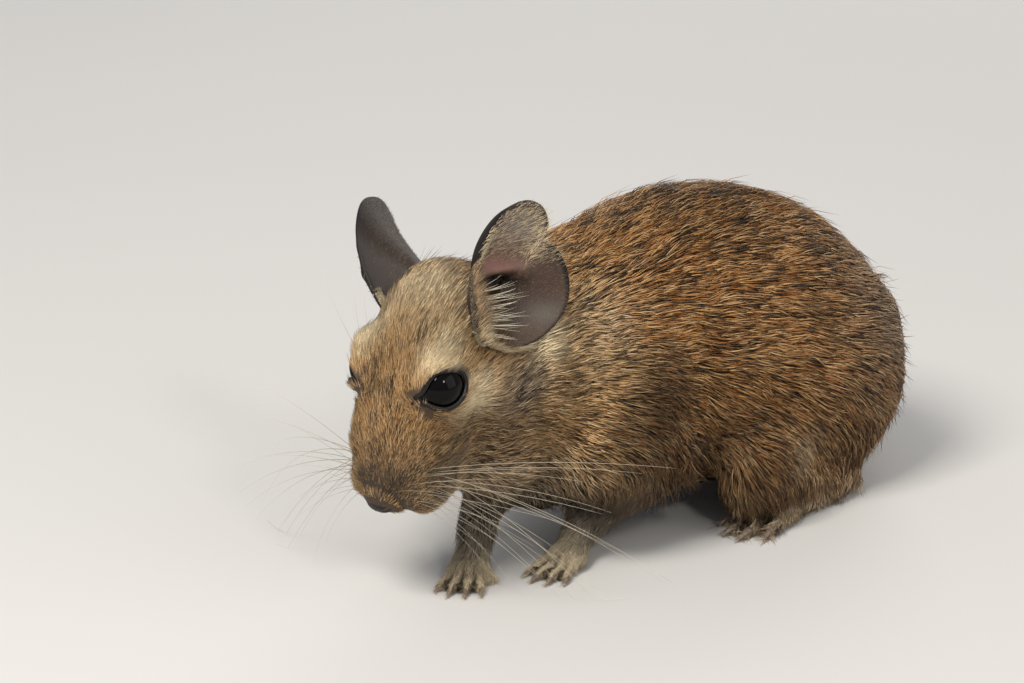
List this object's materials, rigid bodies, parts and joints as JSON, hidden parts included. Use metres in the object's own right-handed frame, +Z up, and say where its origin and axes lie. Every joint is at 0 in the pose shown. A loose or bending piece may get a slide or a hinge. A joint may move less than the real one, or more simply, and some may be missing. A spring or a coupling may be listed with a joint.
{
  "type": "degu",
  "caption": "Life-size still model of a degu, a brown bush-tailed rodent, crouching with its nose lowered to the ground.",
  "frame": {"origin": "on the floor, under the middle of the bounding box", "axes": "+Z up; the animal faces -Y; +X is its left side"},
  "size_m": [0.088, 0.1436, 0.0781],
  "materials": {
    "fur": "matte short agouti fur, ochre with dark brown ticking",
    "ear_skin": "satin grey-brown ear skin",
    "eye": "wet glossy black",
    "foot_skin": "matte pale grey skin with fine hair",
    "tail_hair": "matte black brush hair"
  },
  "bodies": {
    "root": {"head": "fur", "neck": "fur", "torso": "fur", "foreleg_left": "fur", "foreleg_right": "fur", "hind_leg_left": "fur", "hind_leg_right": "fur", "tail_base": "fur", "tail_middle": "fur", "ear_left": "ear_skin", "ear_right": "ear_skin", "eye_left": "eye", "eye_right": "eye", "forefoot_left": "foot_skin", "forefoot_right": "foot_skin", "hind_foot_left": "foot_skin", "hind_foot_right": "foot_skin", "tail_brush": "tail_hair"}
  },
  "joints": []
}
